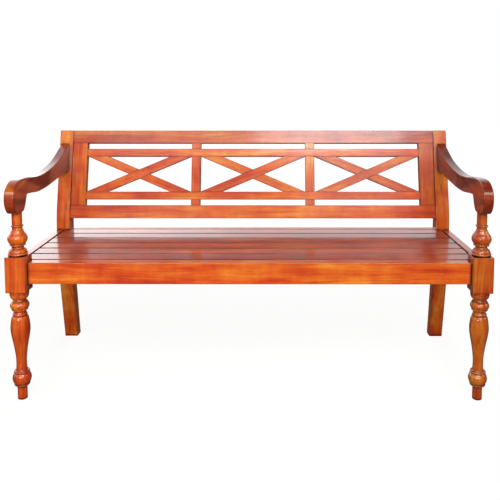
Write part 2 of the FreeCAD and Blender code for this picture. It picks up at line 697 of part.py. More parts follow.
def rear_post():
    """Right-hand rear post: raked leg, upright stretch at the seat and leaning back."""
    foot_y = REAR_POST_FRONT + LOWER_BEND * RAKE_SLOPE
    back_y = REAR_POST_FRONT + REAR_POST_SEAT_DEPTH
    top_rear_z = BACK_HEIGHT - REAR_POST_TOP_DEPTH * math.sin(math.radians(BACK_LEAN))
    outline = rounded_outline([
        (foot_y, 0, REAR_POST_EASE),
        (REAR_POST_FRONT, LOWER_BEND, BEND_RADIUS),
        (REAR_POST_FRONT, UPPER_BEND, BEND_RADIUS),
        (POST_TOP_Y, BACK_HEIGHT, REAR_POST_EASE),
        (POST_TOP_REAR_Y, top_rear_z, REAR_POST_EASE),
        (back_y, UPPER_BEND, BEND_RADIUS),
        (back_y, LOWER_BEND, BEND_RADIUS),
        (foot_y + REAR_POST_FOOT_DEPTH, 0, REAR_POST_EASE),
    ])
    outline.translate(Vec(REAR_POST_INNER_X, 0, 0))
    post = Part.Face(outline).extrude(Vec(REAR_POST_WIDTH, 0, 0))
    post = post.makeFillet(REAR_POST_EASE, side_edges(post))
    holes = [mortise(rear_rail_tenon(), "x"), mortise(side_rail_tenon(REAR_POST_FRONT, 1), "y")]
    holes.append(arm_tenon(ARM_TENON_LENGTH + GLUE_ROOM, JOINT_CLEARANCE))
    holes += [leaned(mortise(limits, "x")) for limits in (top_rail_tenon(), bottom_rail_tenon())]
    return cut_away(post, holes)


def arm_outline():
    """Side view of an arm: top and nose, chin, seat on the post, back of the scroll, underside."""
    def scroll(shape, reach, height):
        return [Vec(0, POST_AXIS_Y + across * reach, ARM_SEAT + up * height) for across, up in shape]

    def heading(direction):
        return Vec(0, direction[0], direction[1])

    rear_top = Vec(0, lean_face_y(ARM_REAR_TOP), ARM_REAR_TOP)
    rear_bottom = Vec(0, lean_face_y(ARM_REAR_BOTTOM), ARM_REAR_BOTTOM)
    run = rear_top.y - POST_AXIS_Y
    scroll_top = ARM_SEAT + SCROLL_HEIGHT
    rise = ARM_REAR_TOP - scroll_top
    top = []
    underside = []
    for share, lift, flare in ARM_STATIONS:
        y = POST_AXIS_Y + share * run
        z = scroll_top + lift * rise
        top.append(Vec(0, y, z))
        underside.insert(0, Vec(0, y, z - ARM_DEPTH - flare * (ARM_REAR_DEPTH - ARM_DEPTH)))
    nose = Vec(0, NOSE_Y, ARM_SEAT + SCROLL_NOSE_HEIGHT)
    seat_front = Vec(0, POST_AXIS_Y - NECK_RADIUS, ARM_SEAT)
    seat_rear = Vec(0, POST_AXIS_Y + NECK_RADIUS, ARM_SEAT)
    throat = Vec(0, POST_AXIS_Y + SCROLL_BACK, ARM_SEAT + SCROLL_THROAT)
    over = [rear_top] + top + scroll(SCROLL_NOSE_SHAPE, SCROLL_REACH, SCROLL_HEIGHT) + [nose]
    chin = [nose] + scroll(SCROLL_CHIN_SHAPE, SCROLL_REACH, SCROLL_HEIGHT) + [seat_front]
    heel = [seat_rear] + scroll(SCROLL_BACK_SHAPE, SCROLL_BACK, SCROLL_THROAT) + [throat]
    under = [throat] + underside + [rear_bottom]
    down = Vec(0, 0, -1)
    return Part.Wire([
        smooth_edge(over, heading(ARM_TOP_START), down),
        smooth_edge(chin, down, heading(SCROLL_CHIN_END)),
        Part.makeLine(seat_front, seat_rear),
        smooth_edge(heel, heading(SCROLL_BACK_START), heading(SCROLL_BACK_END)),
        smooth_edge(under, AXES["y"], heading(ARM_UNDERSIDE_END)),
        Part.makeLine(rear_bottom, rear_top),
    ])


def arm():
    """Right-hand arm with a tenon at the rear and a round hole over the front post."""
    outline = arm_outline()
    outline.translate(Vec(POST_AXIS_X - ARM_THICKNESS / 2, 0, 0))
    body = Part.Face(outline).extrude(Vec(ARM_THICKNESS, 0, 0))
    curved_edges = [edge for edge in side_edges(body) if not isinstance(edge.Curve, Part.Line)]
    body = fused([body.makeFillet(ARM_EASE, curved_edges), arm_tenon(ARM_TENON_LENGTH, 0)])
    seat = Vec(POST_AXIS_X, POST_AXIS_Y, ARM_SEAT)
    pin_hole = Part.makeCylinder(ARM_PIN_RADIUS + JOINT_CLEARANCE, ARM_PIN_LENGTH + GLUE_ROOM, seat)
    return cut_away(body, [pin_hole])


# Back, drawn upright with its top at zero and its depth measured from the face of the posts
def leaned(shape):
    """A piece of the back, leaned and moved to its place between the rear posts."""
    shape = shape.copy()
    shape.rotate(Vec(0, 0, 0), Vec(1, 0, 0), -BACK_LEAN)
    shape.translate(Vec(0, POST_TOP_Y, BACK_HEIGHT))
    return shape


def end_tenon(start_x, length, thickness, bottom, top, shoulder):
    """Right-hand end tenon of a rail of the back."""
    front = BACK_MIDDLE - thickness / 2
    return (start_x, start_x + length, front, front + thickness, bottom + shoulder, top - shoulder)


def post_tenon(bottom, top):
    """Tenon of the top or bottom rail in the right-hand post."""
    return end_tenon(REAR_POST_INNER_X, BACK_TENON_LENGTH, BACK_TENON_THICKNESS,
                     bottom, top, BACK_TENON_SHOULDER)


def top_rail_tenon():
    """Tenon of the top rail."""
    return post_tenon(-BACK_RAIL_HEIGHT, 0)


def bottom_rail_tenon():
    """Tenon of the bottom rail."""
    return post_tenon(-BACK_TOTAL, BOTTOM_RAIL_TOP)


def inner_rail_tenon(bottom):
    """Tenon of an inner rail in the right-hand stile."""
    return end_tenon(STILE_INNER_X, LATTICE_TENON_LENGTH, LATTICE_TENON_THICKNESS,
                     bottom, bottom + INNER_RAIL_HEIGHT, LATTICE_TENON_SHOULDER)


def upright_tenons(x0, x1, length, thickness, shoulder):
    """Tenons of an upright in the bottom rail and in the top rail."""
    half = thickness / 2
    across = (x0 + shoulder, x1 - shoulder, BACK_MIDDLE - half, BACK_MIDDLE + half)
    lower = across + (BOTTOM_RAIL_TOP - length, BOTTOM_RAIL_TOP)
    upper = across + (-BACK_RAIL_HEIGHT, -BACK_RAIL_HEIGHT + length)
    return lower, upper


def stile_tenons():
    """Tenons of the right-hand stile."""
    return upright_tenons(STILE_INNER_X, REAR_POST_INNER_X, BACK_TENON_LENGTH,
                          BACK_TENON_THICKNESS, BACK_TENON_SHOULDER)


def muntin_places():
    """Left edge of each muntin."""
    return [-STILE_INNER_X + (index + 1) * BAY_WIDTH + index * MUNTIN_WIDTH for index in range(BAY_COUNT - 1)]


def muntin_tenons(x0):
    """Tenons of the muntin whose left edge is given."""
    return upright_tenons(x0, x0 + MUNTIN_WIDTH, LATTICE_TENON_LENGTH,
                          LATTICE_TENON_THICKNESS, LATTICE_TENON_SHOULDER)


def back_rail(bottom, top, tenon):
    """Top or bottom rail of the back, with mortises for the stiles and muntins."""
    body = (-REAR_POST_INNER_X, REAR_POST_INNER_X, BACK_FRONT, BACK_REAR, bottom, top)
    right_tenon = box(tenon)
    rail = fused([eased_box(body, "x", BACK_EASE), right_tenon, mirrored(right_tenon)])
    stile_holes = [mortise(limits, "z") for limits in stile_tenons()]
    muntin_holes = [mortise(limits, "z") for x0 in muntin_places() for limits in muntin_tenons(x0)]
    return cut_away(rail, stile_holes + [mirrored(hole) for hole in stile_holes] + muntin_holes)


def back_stile():
    """Right-hand stile between the top and bottom rails."""
    limits = (STILE_INNER_X, REAR_POST_INNER_X, BACK_FRONT, BACK_REAR, BOTTOM_RAIL_TOP, -BACK_RAIL_HEIGHT)
    stile = fused([eased_box(limits, "z", BACK_EASE)] + [box(tenon) for tenon in stile_tenons()])
    return cut_away(stile, [mortise(inner_rail_tenon(bottom), "x") for bottom in inner_rail_bottoms()])


def inner_rail_bottoms():
    """Bottom edge of the lower and of the upper inner rail."""
    return LOWER_RAIL_BOTTOM, BAY_TOP


def back_muntin(x0):
    """Muntin between two bays, halved behind the inner rails."""
    limits = (x0, x0 + MUNTIN_WIDTH, BACK_FRONT, BACK_REAR, BOTTOM_RAIL_TOP, -BACK_RAIL_HEIGHT)
    muntin = fused([eased_box(limits, "z", BACK_EASE)] + [box(tenon) for tenon in muntin_tenons(x0)])
    return cut_away(muntin, [
        box((x0, x0 + MUNTIN_WIDTH, BACK_FRONT, BACK_MIDDLE, bottom, bottom + INNER_RAIL_HEIGHT))
        for bottom in inner_rail_bottoms()])


def inner_rail(bottom):
    """Rail above or below the crosses, halved in front of the muntins."""
    limits = (-STILE_INNER_X, STILE_INNER_X, BACK_FRONT, BACK_REAR, bottom, bottom + INNER_RAIL_HEIGHT)
    right_tenon = box(inner_rail_tenon(bottom))
    rail = fused([eased_box(limits, "x", BACK_EASE), right_tenon, mirrored(right_tenon)])
    halvings = [
        box((x0, x0 + MUNTIN_WIDTH, BACK_MIDDLE, BACK_REAR, bottom, bottom + INNER_RAIL_HEIGHT))
        for x0 in muntin_places()]
    bars = [(bay, side) for bay in range(BAY_COUNT) for side in (1, -1)]
    stubs = [mortise(limits, "z") for bar in bars for limits in cross_stubs(*bar)]
    return cut_away(rail, halvings + stubs)


def cross_bar_foot():
    """Length of rail that the cut end of a cross bar covers, when its edges meet the bay's corners."""
    squares = BAY_HEIGHT ** 2 - CROSS_BAR_WIDTH ** 2
    linear = CROSS_BAR_WIDTH ** 2 * BAY_WIDTH
    constant = CROSS_BAR_WIDTH ** 2 * (BAY_HEIGHT ** 2 + BAY_WIDTH ** 2)
    return (math.sqrt(linear ** 2 + squares * constant) - linear) / squares


def bay_middle(bay):
    """X of the middle of a bay, counted from 0 at the left."""
    return -STILE_INNER_X + bay * (BAY_WIDTH + MUNTIN_WIDTH) + BAY_WIDTH / 2


def cross_bar_outline(bay, side, depth):
    """Corners of a cross bar, rising to the right for side 1 and falling for side -1."""
    middle = bay_middle(bay)
    half = BAY_WIDTH / 2
    foot = cross_bar_foot()
    corners = [(-half, BAY_BOTTOM), (foot - half, BAY_BOTTOM), (half, BAY_TOP), (half - foot, BAY_TOP)]
    return [Vec(middle + side * x, depth, z) for x, z in corners]


def cross_stubs(bay, side):
    """Stub tenons at the lower and upper end of a cross bar."""
    middle = bay_middle(bay)
    half = BAY_WIDTH / 2
    near = half - CROSS_STUB_MARGIN
    far = half - cross_bar_foot() + CROSS_STUB_MARGIN
    bar_middle = BACK_FRONT + CROSS_BAR_SETBACK + CROSS_BAR_THICKNESS / 2
    depth = (bar_middle - LATTICE_TENON_THICKNESS / 2, bar_middle + LATTICE_TENON_THICKNESS / 2)
    lower_x = tuple(sorted([middle - side * near, middle - side * far]))
    upper_x = tuple(sorted([middle + side * near, middle + side * far]))
    lower = lower_x + depth + (BAY_BOTTOM - CROSS_STUB_LENGTH, BAY_BOTTOM)
    upper = upper_x + depth + (BAY_TOP, BAY_TOP + CROSS_STUB_LENGTH)
    return lower, upper


def cross_bar(bay, side):
    """Cross bar of a bay. The rising bar passes in front where the two are halved."""
    front = BACK_FRONT + CROSS_BAR_SETBACK
    body = prism(cross_bar_outline(bay, side, front), Vec(0, CROSS_BAR_THICKNESS, 0))
    long_edges = [edge for edge in body.Edges if abs(edge.tangentAt(0).z) > SLIGHT_SLOPE]
    body = body.makeFillet(BACK_EASE, long_edges)
    bar = fused([body] + [box(limits) for limits in cross_stubs(bay, side)])
    half_thickness = CROSS_BAR_THICKNESS / 2
    lap_front = front + half_thickness if side == 1 else front
    lap = prism(cross_bar_outline(bay, -side, lap_front), Vec(0, half_thickness, 0))
    return cut_away(bar, [lap])


# The whole bench
def both_sides(name, piece, parts):
    """Adds a right-hand piece and its mirror image."""
    parts[name + "_right"] = piece
    parts[name + "_left"] = mirrored(piece)


def seat_parts(parts):
    """Posts, rails, slats and what lies under the seat."""
    front_corner = (FRONT_RAIL_BACK, POST_INNER_X, POST_SIZE, 1)
    rear_corner = (REAR_RAIL_FRONT, REAR_POST_INNER_X, REAR_POST_FRONT, -1)
    corner_places = corner_screws(*front_corner) + corner_screws(*rear_corner)
    corner_holes = rooms(corner_places)
    corner_holes += [mirrored(hole) for hole in corner_holes]

    both_sides("front_post", front_post(), parts)
    both_sides("rear_post", rear_post(), parts)
    front_rail = long_rail(FRONT_RAIL_SETBACK, FRONT_RAIL_THICKNESS, POST_INNER_X, front_rail_tenon())
    rear_rail = long_rail(REAR_RAIL_FRONT, REAR_RAIL_THICKNESS, REAR_POST_INNER_X, rear_rail_tenon())
    parts["front_seat_rail"] = cut_away(front_rail, corner_holes)
    parts["rear_seat_rail"] = cut_away(rear_rail, corner_holes)
    both_sides("side_seat_rail", cut_away(side_rail(), corner_holes), parts)
    both_sides("seat_ledger", seat_ledger(), parts)
    both_sides("corner_block_front", cut_away(corner_block(*front_corner), corner_holes), parts)
    both_sides("corner_block_rear", cut_away(corner_block(*rear_corner), corner_holes), parts)
    for index, x in enumerate(bearer_places()):
        parts["seat_bearer_%d" % (index + 1)] = seat_bearer(x)
    for index in range(SLAT_COUNT):
        parts["seat_slat_%d" % (index + 1)] = seat_slat(index)

    parts["slat_screws"] = Part.makeCompound([screw(*place) for place in slat_screws(support_places())])
    for name, places in (("ledger_screws", ledger_screws()), ("corner_block_screws", corner_places)):
        right = [screw(*place) for place in places]
        parts[name] = Part.makeCompound(right + [mirrored(piece) for piece in right])


def back_parts(parts):
    """Rails, uprights and crosses of the back, and the arms."""
    both_sides("arm", arm(), parts)
    parts["back_top_rail"] = leaned(back_rail(-BACK_RAIL_HEIGHT, 0, top_rail_tenon()))
    parts["back_bottom_rail"] = leaned(back_rail(-BACK_TOTAL, BOTTOM_RAIL_TOP, bottom_rail_tenon()))
    both_sides("back_stile", leaned(back_stile()), parts)
    for name, bottom in zip(("lower", "upper"), inner_rail_bottoms()):
        parts["back_inner_rail_" + name] = leaned(inner_rail(bottom))
    for index, x0 in enumerate(muntin_places()):
        parts["back_muntin_%d" % (index + 1)] = leaned(back_muntin(x0))
    for bay in range(BAY_COUNT):
        for side, name in ((1, "rising"), (-1, "falling")):
            parts["back_cross_%d_%s" % (bay + 1, name)] = leaned(cross_bar(bay, side))


def main():
    """Builds every piece, centres the bench on the origin and writes one file per piece."""
    parts = {}
    seat_parts(parts)
    back_parts(parts)
    os.makedirs("parts", exist_ok=True)
    for name, shape in parts.items():
        shape.translate(Vec(0, -ORIGIN_Y, 0))
        shape.exportStep(os.path.join("parts", name + ".step"))
        volume = sum(solid.Volume for solid in shape.Solids)
        print("%-28s solids %2d  valid %s  volume %.0f" % (name, len(shape.Solids), shape.isValid(), volume))


main()
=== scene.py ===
import math
import random

import bpy
from mathutils import Matrix, Vector


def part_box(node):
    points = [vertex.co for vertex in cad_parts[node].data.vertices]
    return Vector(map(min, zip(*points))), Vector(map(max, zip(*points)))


# Deacons bench in lacquered mahogany, in metres.
# X runs along the bench, Y from front to rear, Z up from the floor.

# Camera, at the photograph's viewing angle
CAMERA_PLACE = (0.0611, -2.2144, 1.0129)
CAMERA_TURN = 0.169
CAMERA_TILT = 4.957
CAMERA_LENS = 46.31
CAMERA_SHIFT = (-0.034, -0.23)
SENSOR_WIDTH = 36.0

# Floor, as light on the bench, as mirrored in it and as seen
FLOOR_SIZE = 24.0
FLOOR_LIT = 0.32
FLOOR_MIRRORED = 0.08
FLOOR_WHITE = 1.05
SHADOW_SHARE = 0.85
SHADOW_REACH = (1.2, 4.5)

# Surroundings, as light on matt surfaces and as mirrored in front of, behind and beside the bench
ROOM_LIGHT = 0.18
BRIGHT_SIDE = (-0.8, 1.0, 0.0)
MIRRORED_SPREAD = (0.25, 0.80)
MIRRORED_FRONT = 0.06
MIRRORED_REAR = 1.02
BRIGHT_SPREAD = (0.98, 1.25)
MIRRORED_BRIGHT = 1.5

# Lamps
SEAT_MIDDLE = (0.0, 0.0, 0.5)
PLAIN_WHITE = (1.0, 1.0, 1.0)
WARM_WHITE = (1.0, 0.93, 0.76)

# Run of the grain in the back, the rear posts and the arms
BACK_LEAN = 14.0
BAY_WIDTH = 0.402
BAY_HEIGHT = 0.135
REAR_POST_SLOPE = 0.06
ARM_SLOPE = 0.22

# Growth rings and the slow waves that draw them askew
TREE_RADIUS = 0.16
HEART_DEPTH = 0.072
RING_SPACING = 0.009
RING_TAPER = 0.018
WAVE_COARSENESS = (1.6, 7.0, 7.0)
WAVE_WIDTH = 0.07

# Coarseness of each pattern along and across the grain, per metre
BROAD_COARSENESS = (1.5, 9.0, 9.0)
PATCH_COARSENESS = (5.5, 22.0, 22.0)
BAND_COARSENESS = (2.4, 40.0, 40.0)
STREAK_COARSENESS = (7.0, 240.0, 240.0)
RIPPLE_COARSENESS = (24.0, 7.0, 7.0)
PORE_COARSENESS = (90.0, 1500.0, 1500.0)
VEIN_COARSENESS = (1.7, 75.0, 75.0)
FILM_COARSENESS = (5.0, 28.0, 28.0)

# Swing that each pattern gives to the tone, and strength of the veins and pores
BROAD_SWING = 0.80
PATCH_SWING = 0.80
BAND_SWING = 0.65
STREAK_SWING = 0.34
RING_SWING = 0.06
RIPPLE_SWING = 0.30
VEIN_STRENGTH = 0.55
PORE_STRENGTH = 0.40

# Reach of the painted shade in hollows and of the darkened arrises, and depth of the pores and of the
# lacquer's ripple
HOLLOW_SHADE_REACH = 0.012
ARRIS_REACH = 0.006
GRAIN_DEPTH = 0.0004
FILM_DEPTH = 0.0015
TIMBER_ROUGHNESS = (0.30, 0.44)
LACQUER_IOR = 1.52

# Gloss of the timber under the lacquer and roughness of the lacquer
FLAT_GLOSS = (0.25, 0.12)
ROUND_GLOSS = (0.28, 0.10)

# Tone of each mahogany piece, above or below the middle of the colours; the arms' low tones are painted
# shade, for their shaded inner faces
MIDDLE_TONE = 0.52
SLAT_TONE = -0.25
PIECE_TONES = {
    "front_seat_rail": 0.04,
    "front_post_left": -0.02,
    "front_post_right": -0.07,
    "arm_left": -0.30,
    "arm_right": -0.42,
    "rear_post_left": 0.13,
    "rear_post_right": 0.08,
    "back_top_rail": -0.04,
    "back_stile_right": 0.09,
    "back_muntin_1": 0.06,
    "back_muntin_2": 0.08,
}

# Browning of each mahogany piece, from none to full; on the arms and the right-hand pieces it is painted
# shade, for the arms' shaded inner faces and the duller light on the bench's right side
PIECE_BROWN_AND_SHADE = {
    "front_post_right": 0.60,
    "front_post_left": 0.10,
    "arm_left": 0.65,
    "arm_right": 0.80,
    "back_top_rail": 0.30,
    "back_stile_right": 0.40,
    "rear_post_right": 0.25,
    "back_muntin_2": 0.20,
    "back_cross_3_rising": 0.20,
    "back_cross_3_falling": 0.20,
}

# Darkness of the arrises, from none to full: stain along the edges, and on the slats also painted shade at
# the gaps between them
SLAT_EDGE_AND_GAP_SHADE = 1.0
MAHOGANY_EDGE = 0.48
HIDDEN_EDGE = 0.4

# Colours from dark to light, and the shades of browning (painted shade on the arms and the right-hand
# pieces), veins, pores and the painted shade in hollows
MAHOGANY_COLOURS = [
    (0.05, (0.20, 0.012, 0.004)),
    (0.28, (0.41, 0.027, 0.003)),
    (0.48, (0.62, 0.064, 0.004)),
    (0.68, (0.74, 0.155, 0.010)),
    (0.92, (0.86, 0.320, 0.032)),
]
MAHOGANY_SHADES = [(0.55, 0.95, 0.90), (0.42, 0.22, 0.16), (0.30, 0.14, 0.10), (0.05, 0.015, 0.01)]
HIDDEN_COLOURS = [
    (0.10, (0.28, 0.13, 0.06)),
    (0.45, (0.46, 0.25, 0.12)),
    (0.80, (0.62, 0.38, 0.20)),
]
HIDDEN_SHADES = [(0.80, 0.85, 0.85), (0.60, 0.48, 0.38), (0.45, 0.32, 0.22), (0.40, 0.30, 0.24)]
ZINC_COLOURS = [(0.3, (0.42, 0.42, 0.40)), (0.7, (0.66, 0.65, 0.60))]

# Piece-to-piece differences: stretch of the tree, heart's place and tone
SEED = 1837
STRETCH_SPREAD = 9.0
HEART_SPREAD = 0.05
TONE_SPREAD = 0.03


# Node trees
class Nodes:
    """Short way to add and join the nodes of a material, a world or a node group."""

    def __init__(self, tree):
        self.tree = tree
        tree.nodes.clear()

    def add(self, kind, inputs=None, **settings):
        """New node with its settings, and its inputs given as values or as other nodes' outputs."""
        node = self.tree.nodes.new("ShaderNode" + kind)
        for name, value in settings.items():
            setattr(node, name, value)
        for name, value in (inputs or {}).items():
            if isinstance(value, bpy.types.NodeSocket):
                self.tree.links.new(value, node.inputs[name])
            else:
                node.inputs[name].default_value = value
        return node

    def vector(self, operation, *inputs):
        """Sum with vectors."""
        return self.add("VectorMath", dict(enumerate(inputs)), operation=operation)

    def maths(self, operation, first, second=0.0, third=0.0):
        """Sum with numbers."""
        return self.add("Math", {0: first, 1: second, 2: third}, operation=operation).outputs[0]

    def stretched(self, point, factors):
        """Point with each coordinate multiplied, so that a pattern is drawn out along the grain."""
        return self.vector("MULTIPLY", point, factors).outputs[0]

    def noise(self, point, coarseness, detail=3.0, roughness=0.55):
        """Noise between 0 and 1, with its coarseness given along each axis."""
        point = self.stretched(point, coarseness)
        inputs = {"Vector": point, "Scale": 1.0, "Detail": detail, "Roughness": roughness}
        return self.add("TexNoise", inputs).outputs["Fac"]

    def swung(self, total, pattern, swing):
        """Total moved up and down by a pattern."""
        return self.maths("MULTIPLY_ADD", self.maths("SUBTRACT", pattern, 0.5), swing, total)

    def fitted(self, value, low, high, to_low, to_high):
        """Value moved from one range to another and kept inside it."""
        inputs = {"Value": value, "From Min": low, "From Max": high, "To Min": to_low, "To Max": to_high}
        return self.add("MapRange", inputs).outputs["Result"]

    def ramp(self, value, stops):
        """Colours at places between 0 and 1."""
        node = self.add("ValToRGB", {"Fac": value})
        colours = node.color_ramp
        while len(colours.elements) < len(stops):
            colours.elements.new(1.0)
        for element, (place, colour) in zip(colours.elements, stops):
            element.position = place
            element.color = (*colour, 1.0)
        return node.outputs["Color"]

    def shaded(self, colour, amount, shade):
        """Colour multiplied by a shade where the amount is high."""
        inputs = {0: amount, 6: colour, 7: (*shade, 1.0)}
        return self.add("Mix", inputs, data_type="RGBA", blend_type="MULTIPLY").outputs[2]

    def surface(self, shader, kind="OutputMaterial"):
        """Sends a shader to the surface."""
        self.add(kind, {"Surface": shader})


def new_material(name):
    """Empty material and its nodes."""
    material = bpy.data.materials.new(name)
    material.use_nodes = True
    return material, Nodes(material.node_tree)


# Timber and steel
def timber_figure(name, colours, brown_shade, vein_shade, pore_shade, painted_shade_colour):
    """Node group for sawn timber. The point it is given runs along the grain in X."""
    tree = bpy.data.node_groups.new(name, "ShaderNodeTree")
    nodes = Nodes(tree)
    face = tree.interface
    face.new_socket("Point", in_out="INPUT", socket_type="NodeSocketVector")
    for socket in ("Tone", "Brown", "Edge"):
        face.new_socket(socket, in_out="INPUT", socket_type="NodeSocketFloat")
    face.new_socket("Colour", in_out="OUTPUT", socket_type="NodeSocketColor")
    for socket in ("Roughness", "Height"):
        face.new_socket(socket, in_out="OUTPUT", socket_type="NodeSocketFloat")
    entry = tree.nodes.new("NodeGroupInput")
    point = entry.outputs["Point"]

    # Growth rings round the heart of the tree, drawn askew by slow waves along the board
    wave_point = nodes.stretched(point, WAVE_COARSENESS)
    wave = nodes.add("TexNoise", {"Vector": wave_point, "Scale": 1.0, "Detail": 2.0})
    sway = nodes.vector("SUBTRACT", wave.outputs["Color"], (0.5, 0.5, 0.5))
    swayed = nodes.vector("MULTIPLY_ADD", sway.outputs[0], (0.0, WAVE_WIDTH, WAVE_WIDTH), point).outputs[0]
    across = nodes.stretched(swayed, (RING_TAPER, 1.0, 1.0))
    from_heart = nodes.vector("ADD", across, (0.0, TREE_RADIUS, HEART_DEPTH))
    radius = nodes.vector("LENGTH", from_heart.outputs[0]).outputs["Value"]
    rings = nodes.maths("MULTIPLY", radius, 1.0 / RING_SPACING)
    late_wood = nodes.fitted(nodes.maths("PINGPONG", rings, 0.5), 0.0, 0.5, 0.0, 1.0)

    # Broad colour bands, streaks, cross-grain ripple, pores and veins
    broad = nodes.noise(swayed, BROAD_COARSENESS, detail=2.0)
    patch = nodes.noise(swayed, PATCH_COARSENESS)
    band = nodes.noise(swayed, BAND_COARSENESS, detail=4.0, roughness=0.6)
    streak = nodes.noise(point, STREAK_COARSENESS, roughness=0.7)
    ripple = nodes.noise(point, RIPPLE_COARSENESS, detail=2.0)
    pore = nodes.fitted(nodes.noise(point, PORE_COARSENESS, detail=1.0), 0.60, 0.70, 0.0, 1.0)
    vein = nodes.fitted(nodes.noise(swayed, VEIN_COARSENESS, detail=2.0), 0.60, 0.72, 0.0, 1.0)

    tone = nodes.swung(entry.outputs["Tone"], broad, BROAD_SWING)
    tone = nodes.swung(tone, patch, PATCH_SWING)
    tone = nodes.swung(tone, band, BAND_SWING)
    tone = nodes.swung(tone, streak, STREAK_SWING)
    tone = nodes.swung(tone, late_wood, RING_SWING)
    tone = nodes.swung(tone, ripple, RIPPLE_SWING)
    colour = nodes.ramp(tone, colours)
    colour = nodes.shaded(colour, entry.outputs["Brown"], brown_shade)
    colour = nodes.shaded(colour, nodes.maths("MULTIPLY", vein, VEIN_STRENGTH), vein_shade)
    colour = nodes.shaded(colour, nodes.maths("MULTIPLY", pore, PORE_STRENGTH), pore_shade)

    # Painted shade in hollows, joints and the gaps between slats, where ambient occlusion finds close
    # surfaces, and stain along the arrises, which on the slats is also painted shade at the gaps
    painted_hollow_shade = nodes.add("AmbientOcclusion", {"Distance": HOLLOW_SHADE_REACH}, samples=8).outputs["AO"]
    colour = nodes.shaded(colour, nodes.fitted(painted_hollow_shade, 0.50, 0.95, 1.0, 0.0), painted_shade_colour)
    arris = nodes.add("AmbientOcclusion", {"Distance": ARRIS_REACH}, samples=8, inside=True).outputs["AO"]
    edge = nodes.maths("MULTIPLY", nodes.fitted(arris, 0.55, 0.95, 1.0, 0.0), entry.outputs["Edge"])
    colour = nodes.shaded(colour, edge, vein_shade)

    roughness = nodes.fitted(streak, 0.3, 0.7, *TIMBER_ROUGHNESS)
    height = nodes.maths("MULTIPLY_ADD", pore, -0.5, nodes.maths("MULTIPLY", streak, 0.5))
    out = tree.nodes.new("NodeGroupOutput")
    for socket, value in (("Colour", colour), ("Roughness", roughness), ("Height", height)):
        tree.links.new(value, out.inputs[socket])
    return tree


def timber(name, figure, grain, place, look, gloss, lacquer):
    """Material for one piece: its own stretch of the tree, turned so that the grain follows the piece."""
    material, nodes = new_material(name)
    coordinates = nodes.add("TexCoord").outputs["Object"]
    settings = {"Vector": coordinates, "Location": place, "Rotation": grain.to_euler()}
    mapped = nodes.add("Mapping", settings).outputs["Vector"]
    sawn = nodes.add("Group", {"Point": mapped, **look}, node_tree=figure)
    relief = {"Height": sawn.outputs["Height"], "Strength": 0.35, "Distance": GRAIN_DEPTH}
    timber_gloss, lacquer_roughness = gloss
    shader = nodes.add("BsdfPrincipled", {
        "Base Color": sawn.outputs["Colour"],
        "Roughness": sawn.outputs["Roughness"],
        "Normal": nodes.add("Bump", relief).outputs["Normal"],
        "Specular IOR Level": timber_gloss,
        "Coat Weight": lacquer,
        "Coat Roughness": lacquer_roughness,
        "Coat IOR": LACQUER_IOR})
    if lacquer:
        ripple = nodes.noise(mapped, FILM_COARSENESS, detail=2.0)
        film = nodes.add("Bump", {"Height": ripple, "Strength": 0.25, "Distance": FILM_DEPTH})
        nodes.tree.links.new(film.outputs["Normal"], shader.inputs["Coat Normal"])
    nodes.surface(shader.outputs["BSDF"])
    return material


def screw_steel():
    """Zinc-plated steel with turning marks and a little grey in the plating."""
    material, nodes = new_material("zinc_plated_steel")
    point = nodes.add("TexCoord").outputs["Object"]
    cloud = nodes.noise(point, (260.0, 260.0, 260.0))
    mark = nodes.noise(point, (500.0, 500.0, 3500.0), detail=1.0)
    relief = nodes.add("Bump", {"Height": mark, "Strength": 0.3, "Distance": 0.0001})
    shader = nodes.add("BsdfPrincipled", {
        "Base Color": nodes.ramp(cloud, ZINC_COLOURS),
        "Metallic": 1.0,
        "Roughness": nodes.fitted(mark, 0.3, 0.7, 0.28, 0.45),
        "Normal": relief.outputs["Normal"]})
    nodes.surface(shader.outputs["BSDF"])
    return material


# Directions of the grain
def grain_turn(along, face):
    """Rotation that brings the grain's direction to X and the broad face's outward direction to Z."""
    along = along.normalized()
    face = (face - along * face.dot(along)).normalized()
    return Matrix((along, face.cross(along), face))


def piece_grain(node):
    """Grain direction and broad face of a piece, from what it is."""
    lean = math.radians(BACK_LEAN)
    up_back = Vector((0.0, math.sin(lean), math.cos(lean)))
    back_face = Vector((0.0, -math.cos(lean), math.sin(lean)))
    sideways = Vector((1.0, 0.0, 0.0))
    rearward = Vector((0.0, 1.0, 0.0))
    upward = Vector((0.0, 0.0, 1.0))
    if node.startswith("back_cross"):
        side = 1.0 if node.endswith("rising") else -1.0
        return sideways * side * BAY_WIDTH + up_back * BAY_HEIGHT, back_face
    if node.startswith(("back_stile", "back_muntin")):
        return up_back, back_face
    if node.startswith("back_"):
        return sideways, back_face
    if node.startswith("front_post"):
        return upward, -rearward
    if node.startswith("rear_post"):
        return upward + rearward * REAR_POST_SLOPE, -rearward
    if node.startswith("arm_"):
        return rearward + upward * ARM_SLOPE, sideways
    if node.startswith(("side_seat_rail", "seat_ledger")):
        return rearward, sideways
    if node.startswith("seat_bearer"):
        return rearward, upward
    if node.startswith("seat_slat"):
        return sideways, upward
    if node.startswith("corner_block"):
        side = 1.0 if node.endswith("right") else -1.0
        depth = -1.0 if "front" in node else 1.0
        return sideways + rearward * side * depth, upward
    return sideways, -rearward


def put_material(piece, material):
    """One material in every slot of a piece."""
    for slot in piece.material_slots:
        slot.material = material


